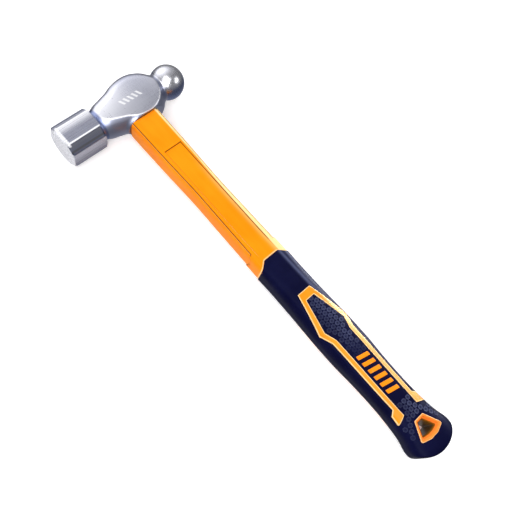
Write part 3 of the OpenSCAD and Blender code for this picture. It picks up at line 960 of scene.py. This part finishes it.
def steel():
    m = Nodes("forged_steel")
    x, y, z = m.sep()
    ball = m.range(y, local(1, 24.5), local(1, 27.5))
    poll = m.range(y, local(1, -28.6), local(1, -30.6))
    along = m.noise(1.0, 4, 0.55, m.mapped((1500, 22, 1500)))           # lines along the head
    across = m.noise(1.0, 4, 0.6, m.mapped((150, 1500, 1500), (3, 1, 2)))  # lines across the cheeks
    cloud = m.noise(38, 3, 0.5)
    fine = m.noise(900, 2, 0.5)
    az = m.math("ABSOLUTE", m.math("SUBTRACT", z, local(2, 0)))
    brush = m.math("ADD", m.math("MULTIPLY", along, m.math("ADD", 0.3, m.math("MULTIPLY", poll, 0.7))),
                   m.math("MULTIPLY", m.math("ADD", 0.25, m.math("MULTIPLY", across, 0.5)), m.math("MULTIPLY", 0.7, m.math("SUBTRACT", 1.0, poll))))
    nz = m.math("ABSOLUTE", m.sep(m.t.nodes.new("ShaderNodeNewGeometry").outputs["Normal"])[2])
    # the flanks darker: partly their forged finish, partly painted shade that deepens towards the handle
    flank = m.math("MULTIPLY", m.math("MAXIMUM", m.range(nz, 0.93, 0.80), m.range(az, 0.0111, 0.0106)),
                   m.math("SUBTRACT", 1.0, m.math("MAXIMUM", ball, poll)))
    flank = m.math("MULTIPLY", flank, m.range(x, local(0, -7), local(0, 1), 0.35, 1.0))
    # painted shade in the groove behind the poll
    groove = m.math("MULTIPLY", m.range(y, local(1, -30.6), local(1, -29.8)), m.range(y, local(1, -25.2), local(1, -27.4)))
    ax = m.math("ABSOLUTE", m.math("SUBTRACT", x, local(0, 0)))
    # painted shade on the poll's slanted facets, deeper towards their outer edge and on the handle side, with a darker
    # painted band near that edge
    corner = m.math("MULTIPLY", m.math("MULTIPLY", m.range(ax, 0.0071, 0.0079), m.range(az, 0.0071, 0.0079)), poll)
    # painted shade round the sides of the ball
    girdle = m.math("MULTIPLY", m.range(az, 0.0108, 0.0050), ball)
    painted_dark_band = m.range(m.math("ABSOLUTE", m.math("SUBTRACT", ax, 0.0116)), 0.0007, 0.0003)
    facet = m.range(ax, 0.0075, 0.0126, 0.55, 1.0)
    facet = m.math("MULTIPLY", facet, m.math("SUBTRACT", 1.0, m.math("MULTIPLY", m.math("LESS_THAN", x, local(0, 0)), 0.65)))
    # painted highlight: a bright band next to the striking face
    face_highlight = m.range(y, local(1, -54.6), local(1, -55.6))
    side = m.math("MULTIPLY", m.range(az, 0.0079, 0.0071), poll)
    # painted highlight: a thin bright line on the poll's flats, on the handle side
    ridge = m.math("MULTIPLY", m.math("MULTIPLY", m.range(m.math("ABSOLUTE", m.math("SUBTRACT", x, local(0, 6.95))), 0.0008, 0.0004),
                                      m.range(az, 0.0128, 0.0131)), poll)
    dark = m.math("MAXIMUM", m.math("MULTIPLY", flank, 0.45), m.math("MULTIPLY", corner, facet))
    dark = m.math("MAXIMUM", dark, m.math("MULTIPLY", girdle, 0.8))
    dark = m.math("MAXIMUM", dark, m.math("MULTIPLY", groove, 0.85))
    base = m.mix(m.range(cloud, 0.3, 0.7), (0.48, 0.49, 0.56), (0.57, 0.58, 0.65))
    base = m.mix(m.math("MULTIPLY", m.range(brush, 0.35, 0.7), 0.3), base, (0.75, 0.76, 0.83))
    # painted highlight: the cheeks lighter towards the poll and away from the handle
    lead = m.range(y, local(1, -30), local(1, 12), 1.0, 0.0)                # towards the neck of the poll
    far = m.range(x, local(0, -13), local(0, 10), 1.0, 0.0)               # away from the handle
    cheek = m.math("MULTIPLY", m.math("SUBTRACT", 1.0, m.math("MAXIMUM", ball, poll)), m.range(az, 0.0085, 0.0105))
    sweep = m.math("MULTIPLY", m.math("MULTIPLY", lead, m.math("ADD", 0.35, m.math("MULTIPLY", far, 0.65))), cheek)
    land = m.math("MULTIPLY", poll, m.range(az, 0.0124, 0.0129))           # the two flats of the poll
    land_b = m.math("MULTIPLY", land, m.range(x, local(0, -6.8), local(0, 0.5), 1.0, 0.0))
    far_side = m.math("LESS_THAN", x, local(0, 0))
    # painted shade darkens the poll's two flats, and a painted highlight lightens their half away from the handle
    base = m.mix(m.math("MULTIPLY", land, 0.62), base, (0.24, 0.25, 0.32))
    base = m.mix(m.math("MULTIPLY", land_b, 0.85), base, (0.93, 0.93, 0.96))
    base = m.mix(sweep, base, (0.95, 0.95, 0.98))
    # the flanks' darker tone, with the painted shade of the facets, the ball's sides and the groove
    base = m.mix(dark, base, (0.13, 0.18, 0.40))
    base = m.mix(m.math("MULTIPLY", m.math("MULTIPLY", painted_dark_band, corner), 0.85), base, (0.02, 0.022, 0.05))
    # painted light and shade on the side flats of the poll: lighter at the top, darker towards the bottom
    drop = m.range(z, local(2, 7.5), local(2, -8))
    base = m.mix(m.math("MULTIPLY", side, 0.85), base, m.mix(drop, (0.55, 0.55, 0.64), (0.17, 0.175, 0.25)))
    # painted highlight by the striking face, on the flats and on the face's chamfer
    rim = m.math("MULTIPLY", face_highlight, m.math("MAXIMUM", m.range(az, 0.0115, 0.0125), m.range(y, local(1, -56.9), local(1, -57.6))))
    base = m.mix(m.math("MULTIPLY", rim, 0.9), base, (0.90, 0.90, 0.94))
    # painted highlight on the crown of the ball
    base = m.mix(m.math("MULTIPLY", m.math("MULTIPLY", ball, m.range(az, 0.0050, 0.0105)), 0.9), base, (0.88, 0.885, 0.93))
    base = m.mix(m.math("MULTIPLY", ridge, 0.9), base, (0.95, 0.95, 0.97))
    # painted highlight on the sharp edges of the poll
    edge = m.math("MULTIPLY", m.range(m.pointy(), 0.53, 0.62), m.range(y, local(1, -30.6), local(1, -32.0)))
    base = m.mix(m.math("MULTIPLY", edge, 0.4), base, (0.9, 0.9, 0.94))
    # painted highlight along the cheek border, from the stored lit values
    lit = m.stored("lit")
    base = m.mix(m.math("MULTIPLY", lit, 0.85), base, (0.93, 0.93, 0.97))
    # small etched hatch on the upper cheek: plain slanted dashes
    u = m.math("DIVIDE", m.math("SUBTRACT", y, local(1, -9.0)), 0.0036)
    slant = m.math("MULTIPLY", m.math("SUBTRACT", x, local(0, 1.0)), -140.0)
    cell = m.math("FRACT", m.math("ADD", u, slant))
    dash = m.math("MULTIPLY", m.range(cell, 0.24, 0.27), m.range(cell, 0.76, 0.73))
    inx = m.math("MULTIPLY", m.range(x, local(0, -1.3), local(0, -1.1)), m.range(x, local(0, 3.3), local(0, 3.1)))
    uu = m.math("ADD", u, slant)
    iny = m.math("MULTIPLY", m.math("GREATER_THAN", uu, 0.0), m.math("LESS_THAN", uu, 5.0))
    top = m.math("GREATER_THAN", z, local(2, 11.9))
    etch = m.math("MULTIPLY", m.math("MULTIPLY", dash, inx), m.math("MULTIPLY", iny, top))
    base = m.mix(m.math("MULTIPLY", etch, 0.95), base, (0.95, 0.95, 0.96))
    m.put(m.b.inputs["Base Color"], base)
    # the metal made partly diffuse where highlights are painted, so they show bright
    matte = m.math("MAXIMUM", ridge, m.math("MULTIPLY", lit, 0.7))
    matte = m.math("MAXIMUM", matte, m.math("MULTIPLY", rim, 0.9))
    matte = m.math("MAXIMUM", matte, m.math("MULTIPLY", m.math("MAXIMUM", side, m.math("MULTIPLY", corner, far_side)), 0.55))
    matte = m.math("MAXIMUM", matte, m.math("MAXIMUM", m.math("MULTIPLY", sweep, 0.9), m.math("MULTIPLY", land_b, 0.45)))
    m.put(m.b.inputs["Metallic"], m.math("SUBTRACT", 1.0, m.math("MULTIPLY", matte, 0.75)))
    rough = m.math("ADD", 0.26, m.math("MULTIPLY", m.math("SUBTRACT", brush, 0.5), 0.30))
    rough = m.math("ADD", rough, m.math("MULTIPLY", flank, 0.10))
    rough = m.math("ADD", rough, m.math("MULTIPLY", cloud, 0.06))
    rough = m.math("MULTIPLY", rough, m.math("SUBTRACT", 1.0, m.math("MULTIPLY", ball, 0.1)))
    rough = m.math("SUBTRACT", rough, m.math("MULTIPLY", corner, 0.09))
    rough = m.math("ADD", rough, m.math("MULTIPLY", etch, 0.35), clamp=True)
    m.put(m.b.inputs["Roughness"], rough)
    h = m.math("ADD", m.math("MULTIPLY", brush, m.math("SUBTRACT", 1.0, m.math("MULTIPLY", ball, 0.85))),
               m.math("MULTIPLY", m.math("MULTIPLY", fine, flank), 0.8))
    nrm = m.bump(h, 0.16, 0.0003)
    nrm = m.bump(m.noise(130, 2, 0.5), 0.06, 0.001, nrm)
    m.put(m.b.inputs["Normal"], nrm)
    return m.mat


def plastic(name, a, b, rough=0.3, scale=1.0, wear_and_glint_colour=(1.0, 0.72, 0.35), spec=0.16, wear_and_glint=0.35):
    m = Nodes(name)
    cloud = m.noise(30 * scale, 3, 0.5)
    flow = m.noise(1.0, 3, 0.55, m.mapped((40, 260, 260)))
    peel = m.noise(1500, 2, 0.5)
    base = m.mix(m.range(m.math("ADD", m.math("MULTIPLY", cloud, 0.6), m.math("MULTIPLY", flow, 0.4)), 0.35, 0.65), a, b)
    # sharp edges lighter: partly wear, partly a painted highlight
    edge = m.range(m.pointy(), 0.54, 0.66)
    base = m.mix(m.math("MULTIPLY", edge, wear_and_glint), base, wear_and_glint_colour)
    # painted shade: darker in hollows
    hollow_shade = m.range(m.pointy(), 0.47, 0.38)
    base = m.mix(m.math("MULTIPLY", hollow_shade, 0.5), base, tuple(0.45 * c for c in a))
    # painted highlight from the stored lit values
    base = m.mix(m.math("MULTIPLY", m.stored("lit"), 0.75), base, (1.0, 0.84, 0.42))
    # painted shade in the grooves and down the hang hole, from the stored values
    base = m.mix(m.math("MULTIPLY", m.stored("painted_shade"), 0.93), base, (0.10 * a[0], 0.06 * a[0], 0.004))
    m.put(m.b.inputs["Base Color"], base)
    scuff = m.noise(1.0, 4, 0.7, m.mapped((300, 1800, 1800)))
    r = m.math("ADD", rough, m.math("MULTIPLY", m.math("SUBTRACT", cloud, 0.5), 0.14))
    r = m.math("ADD", r, m.math("MULTIPLY", m.range(scuff, 0.6, 0.8), 0.1), clamp=True)
    m.put(m.b.inputs["Roughness"], r)
    h = m.math("ADD", m.math("MULTIPLY", peel, 0.5), m.math("MULTIPLY", m.noise(260, 2, 0.5), 0.5))
    m.put(m.b.inputs["Normal"], m.bump(h, 0.10, 0.0002))
    m.b.inputs["IOR"].default_value = 1.46
    m.b.inputs["Specular IOR Level"].default_value = spec
    m.b.inputs["Specular Tint"].default_value = (1.0, 0.82, 0.5, 1)
    return m.mat


def soft(name):
    m = Nodes(name)
    cloud = m.noise(45, 4, 0.55)
    grain = m.noise(2600, 2, 0.6)
    mottle = m.noise(420, 3, 0.6)
    base = m.mix(m.range(cloud, 0.3, 0.7), (0.0026, 0.0028, 0.020), (0.0042, 0.0048, 0.029))
    # painted highlight along sharp edges
    edge = m.range(m.pointy(), 0.53, 0.64)
    base = m.mix(m.math("MULTIPLY", edge, 0.35), base, (0.03, 0.034, 0.085))
    # painted sheen from the stored lit values
    base = m.mix(m.stored("lit"), base, (0.068, 0.078, 0.15))
    m.put(m.b.inputs["Base Color"], base)
    r = m.math("ADD", 0.36, m.math("MULTIPLY", m.math("SUBTRACT", mottle, 0.5), 0.2))
    r = m.math("ADD", r, m.math("MULTIPLY", m.math("SUBTRACT", cloud, 0.5), 0.12), clamp=True)
    m.put(m.b.inputs["Roughness"], r)
    h = m.math("ADD", m.math("MULTIPLY", grain, 0.6), m.math("MULTIPLY", mottle, 0.5))
    m.put(m.b.inputs["Normal"], m.bump(h, 0.28, 0.0002))
    m.b.inputs["IOR"].default_value = 1.45
    m.b.inputs["Specular IOR Level"].default_value = 0.05
    m.b.inputs["Specular Tint"].default_value = (0.55, 0.62, 1.0, 1)
    m.b.inputs["Sheen Weight"].default_value = 0.0
    m.b.inputs["Sheen Roughness"].default_value = 0.45
    m.b.inputs["Sheen Tint"].default_value = (0.62, 0.62, 0.85, 1)
    return m.mat


def resin():
    m = Nodes("cast_resin")
    cloud = m.noise(260, 3, 0.5)
    base = m.mix(cloud, (0.02, 0.018, 0.016), (0.05, 0.045, 0.04))
    bub = m.t.nodes.new("ShaderNodeTexVoronoi")
    m.put(bub.inputs["Vector"], m.co)
    bub.inputs["Scale"].default_value = 900
    pits = m.range(bub.outputs["Distance"], 0.12, 0.3)
    base = m.mix(m.math("MULTIPLY", m.math("SUBTRACT", 1.0, pits), 0.6), base, (0.12, 0.11, 0.10))
    m.put(m.b.inputs["Base Color"], base)
    m.put(m.b.inputs["Roughness"], m.math("ADD", 0.18, m.math("MULTIPLY", cloud, 0.25)))
    m.put(m.b.inputs["Normal"], m.bump(m.math("ADD", pits, m.math("MULTIPLY", cloud, 1.5)), 0.3, 0.0002))
    return m.mat


def fibre():
    m = Nodes("sawn_fibreglass")
    vor = m.t.nodes.new("ShaderNodeTexVoronoi")
    m.put(vor.inputs["Vector"], m.mapped((60, 1, 1)))
    vor.inputs["Scale"].default_value = 2600
    vec = m.mapped((25, 1500, 1500))
    strands = m.noise(1.0, 3, 0.6, vec)
    base = m.mix(m.range(vor.outputs["Distance"], 0.1, 0.6), (0.78, 0.72, 0.52), (0.46, 0.36, 0.17))
    base = m.mix(m.math("MULTIPLY", strands, 0.5), base, (0.85, 0.8, 0.62))
    m.put(m.b.inputs["Base Color"], base)
    m.put(m.b.inputs["Roughness"], m.math("ADD", 0.5, m.math("MULTIPLY", strands, 0.3)))
    saw = m.noise(1.0, 2, 0.5, m.mapped((1, 90, 2400)))
    m.put(m.b.inputs["Normal"], m.bump(m.math("ADD", saw, m.math("MULTIPLY", strands, 0.6)), 0.35, 0.0002))
    return m.mat


def floor_mat():
    m = Nodes("pale_floor")
    c = m.noise(6, 3, 0.5)
    m.put(m.b.inputs["Base Color"], m.mix(c, (0.90, 0.90, 0.90), (0.93, 0.93, 0.93)))
    m.b.inputs["Roughness"].default_value = 0.8
    m.b.inputs["Emission Color"].default_value = (1, 1, 1, 1)
    m.b.inputs["Emission Strength"].default_value = 0.3
    m.b.inputs["Specular IOR Level"].default_value = 0.1
    return m.mat


def backdrop_mat():
    m = Nodes("pale_backdrop")
    c = m.noise(2, 2, 0.5)
    m.put(m.b.inputs["Base Color"], m.mix(c, (0.9, 0.9, 0.9), (0.93, 0.93, 0.93)))
    m.b.inputs["Emission Color"].default_value = (1, 1, 1, 1)
    m.b.inputs["Emission Strength"].default_value = 0.85
    m.b.inputs["Roughness"].default_value = 0.9
    m.b.inputs["Specular IOR Level"].default_value = 0.0
    return m.mat


# ---------------------------------------------------------------- build
STEEL = steel()
ORANGE = plastic("orange_jacket", (0.96, 0.235, 0.001), (1.0, 0.275, 0.003), 0.30)
INLAY = plastic("orange_inlay", (0.98, 0.235, 0.001), (1.0, 0.275, 0.002), 0.34, spec=0.4, wear_and_glint=0.75)
REDDER = plastic("orange_liner", (0.95, 0.20, 0.02), (1.0, 0.25, 0.035), 0.30, wear_and_glint_colour=(1.0, 0.6, 0.35), spec=0.4, wear_and_glint=0.75)
NAVY = soft("soft_navy")


MADE = {}


def done(ob, mat, node, slot):
    ob.data.materials.clear()
    ob.data.materials.append(mat)
    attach(ob, "root")
    if node:
        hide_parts(node)
    MADE.setdefault(slot, []).append(ob)
    return ob


done(build_head(), STEEL, "hammer_head", "head_steel")
done(build_core(), fibre(), "handle_core", "core_fibreglass")
done(build_bond(), resin(), "eye_bond", "bond_resin")
done(build_jacket(), ORANGE, "shank_jacket", "jacket_orange")
done(build_grip(), NAVY, "grip_sleeve", "grip_soft")
done(build_hexes(), NAVY, None, "grip_soft")
for side, word in ((1, "upper"), (-1, "lower")):
    done(inlay("inlay_frame_" + word, rounded(FRAME, FRAME_RAD), side, rim=0.3), INLAY, "grip_inlay_" + word, "inlay_orange")
    done(join("emblem_bars_" + word, [inlay("bar", rounded(b, 0.35, 4), side, bevel=0.22) for b in BARS]),
         INLAY, "grip_emblem_" + word, "inlay_orange")
done(build_liner(), REDDER, "hang_hole_liner", "liner_orange")

# ---------------------------------------------------------------- floor, light, camera
CTR = (CAD_LO + CAD_HI) / 2
bm = bmesh.new()
bmesh.ops.create_grid(bm, x_segments=8, y_segments=8, size=3.0)
me = bpy.data.meshes.new("floor")
bm.to_mesh(me)
bm.free()
floor = bpy.data.objects.new("floor", me)
floor.location = (CTR.x, CTR.y, CAD_LO.z)
SCENE.collection.objects.link(floor)
floor.data.materials.append(floor_mat())
floor.visible_glossy = False
floor.visible_shadow = False

bm = bmesh.new()
bmesh.ops.create_uvsphere(bm, u_segments=48, v_segments=24, radius=1.7)
bmesh.ops.reverse_faces(bm, faces=bm.faces)
me = bpy.data.meshes.new("backdrop")
bm.to_mesh(me)
bm.free()
backdrop = bpy.data.objects.new("backdrop", me)
backdrop.location = (CTR.x, CTR.y, CAD_LO.z)
SCENE.collection.objects.link(backdrop)
backdrop.data.materials.append(backdrop_mat())
for ray in ("diffuse", "glossy", "transmission", "shadow"):
    setattr(backdrop, "visible_" + ray, False)


def area(name, pos, target, size, power, colour=(1, 1, 1)):
    L = bpy.data.lights.new(name, "AREA")
    L.shape = "RECTANGLE"
    L.size, L.size_y = size
    L.energy = power
    L.color = colour
    o = bpy.data.objects.new(name, L)
    o.visible_camera = False
    o.location = Vector(pos) + CTR
    d = (Vector(target) + CTR) - o.location
    o.rotation_euler = d.to_track_quat("-Z", "Y").to_euler()
    SCENE.collection.objects.link(o)
    return o


key = area("key", (-0.95, 0.22, 0.42), (-0.12, 0, 0), (0.8, 0.6), 6.2)
key.visible_glossy = False
area("side", (0.45, 0.75, 0.5), (0.05, 0, 0), (0.36, 0.24), 2.0)
area("front", (0.42, -0.62, 0.85), (-0.02, 0, 0), (0.6, 0.5), 6.0)
area("top", (0.08, -0.24, 0.95), (-0.05, 0, 0), (0.72, 0.72), 4.2)
rim = area("rim", (-0.03, 0.95, 0.12), (0.0, 0, 0), (0.42, 0.26), 16.0)
crest = area("crest", (-0.02, 0.86, 0.48), (0.0, 0, 0), (0.5, 0.22), 17.0)
kick = area("kick", (-0.05, 0.90, -0.14), (-0.02, 0, 0), (0.6, 0.6), 6.0, (1.0, 0.93, 0.68))
for lamp, slots in ((rim, ("grip_soft", "inlay_orange", "liner_orange")), (crest, ("grip_soft", "inlay_orange", "jacket_orange")),
                    (kick, ("jacket_orange", "inlay_orange"))):
    lamp.visible_diffuse = False
    group = bpy.data.collections.new(lamp.name + "_lights")
    for slot in slots:
        for ob in MADE[slot]:
            group.objects.link(ob)
    lamp.light_linking.receiver_collection = group

world = bpy.data.worlds.new("studio")
SCENE.world = world
world.use_nodes = True
wt = world.node_tree
bg = wt.nodes["Background"]
tc = wt.nodes.new("ShaderNodeTexCoord")
dot = wt.nodes.new("ShaderNodeVectorMath")
dot.operation = "DOT_PRODUCT"
dot.inputs[1].default_value = Vector((-0.86, 0.08, 0.5)).normalized()
wt.links.new(tc.outputs["Generated"], dot.inputs[0])
half = wt.nodes.new("ShaderNodeMath")
half.operation = "MULTIPLY_ADD"
half.inputs[1].default_value = 0.5
half.inputs[2].default_value = 0.5
wt.links.new(dot.outputs["Value"], half.inputs[0])
ramp = wt.nodes.new("ShaderNodeValToRGB")
ramp.color_ramp.interpolation = "EASE"
for pos, v in ((0.0, 0.22), (0.2, 0.22), (0.38, 0.16), (0.65, 0.20), (0.85, 0.44), (0.93, 0.90), (1.0, 1.6)):
    e = ramp.color_ramp.elements[0] if pos == 0 else (ramp.color_ramp.elements[-1] if pos == 1.0
                                                      else ramp.color_ramp.elements.new(pos))
    e.color = (v, v, v * 1.04, 1)
wt.links.new(half.outputs[0], ramp.inputs["Fac"])
zed = wt.nodes.new("ShaderNodeSeparateXYZ")
wt.links.new(tc.outputs["Generated"], zed.inputs[0])
low = wt.nodes.new("ShaderNodeValToRGB")                  # what the metal sees below the horizon
for pos, v in ((0.0, 0.42), (0.12, 0.40), (0.3, 0.3), (0.55, 0.2), (1.0, 0.18)):
    e = low.color_ramp.elements[0] if pos == 0 else (low.color_ramp.elements[-1] if pos == 1.0
                                                     else low.color_ramp.elements.new(pos))
    e.color = (v, v, v * 1.04, 1)
add = wt.nodes.new("ShaderNodeMath")
add.operation = "ADD"
add.inputs[1].default_value = 1.0
wt.links.new(zed.outputs["Z"], add.inputs[0])
wt.links.new(add.outputs[0], low.inputs["Fac"])
pick = wt.nodes.new("ShaderNodeMapRange")
pick.inputs["From Min"].default_value = -0.04
pick.inputs["From Max"].default_value = 0.04
wt.links.new(zed.outputs["Z"], pick.inputs["Value"])
both_ways = wt.nodes.new("ShaderNodeMix")
both_ways.data_type = "RGBA"
cin = [i for i in both_ways.inputs if i.type == "RGBA"]
wt.links.new(pick.outputs["Result"], both_ways.inputs["Factor"])
wt.links.new(low.outputs["Color"], cin[0])
wt.links.new(ramp.outputs["Color"], cin[1])
wt.links.new([o for o in both_ways.outputs if o.type == "RGBA"][0], bg.inputs["Color"])
bg.inputs["Strength"].default_value = 1.0

cam_data = bpy.data.cameras.new("camera")
cam_data.sensor_width = 36.0
cam_data.lens = 43.53
cam_data.clip_start = 0.01
cam = bpy.data.objects.new("camera", cam_data)
right = Vector((0.66111, 0.72947, 0.17554))
up = Vector((-0.73738, 0.58847, 0.33162))
back = right.cross(up)
rot = Matrix((right, up, back)).transposed().to_4x4()
cam.matrix_world = Matrix.Translation(CTR + Vector((0.05255, -0.14745, 0.39416))) @ rot
SCENE.collection.objects.link(cam)
SCENE.camera = cam
SCENE.view_settings.view_transform = "Standard"
SCENE.view_settings.look = "None"
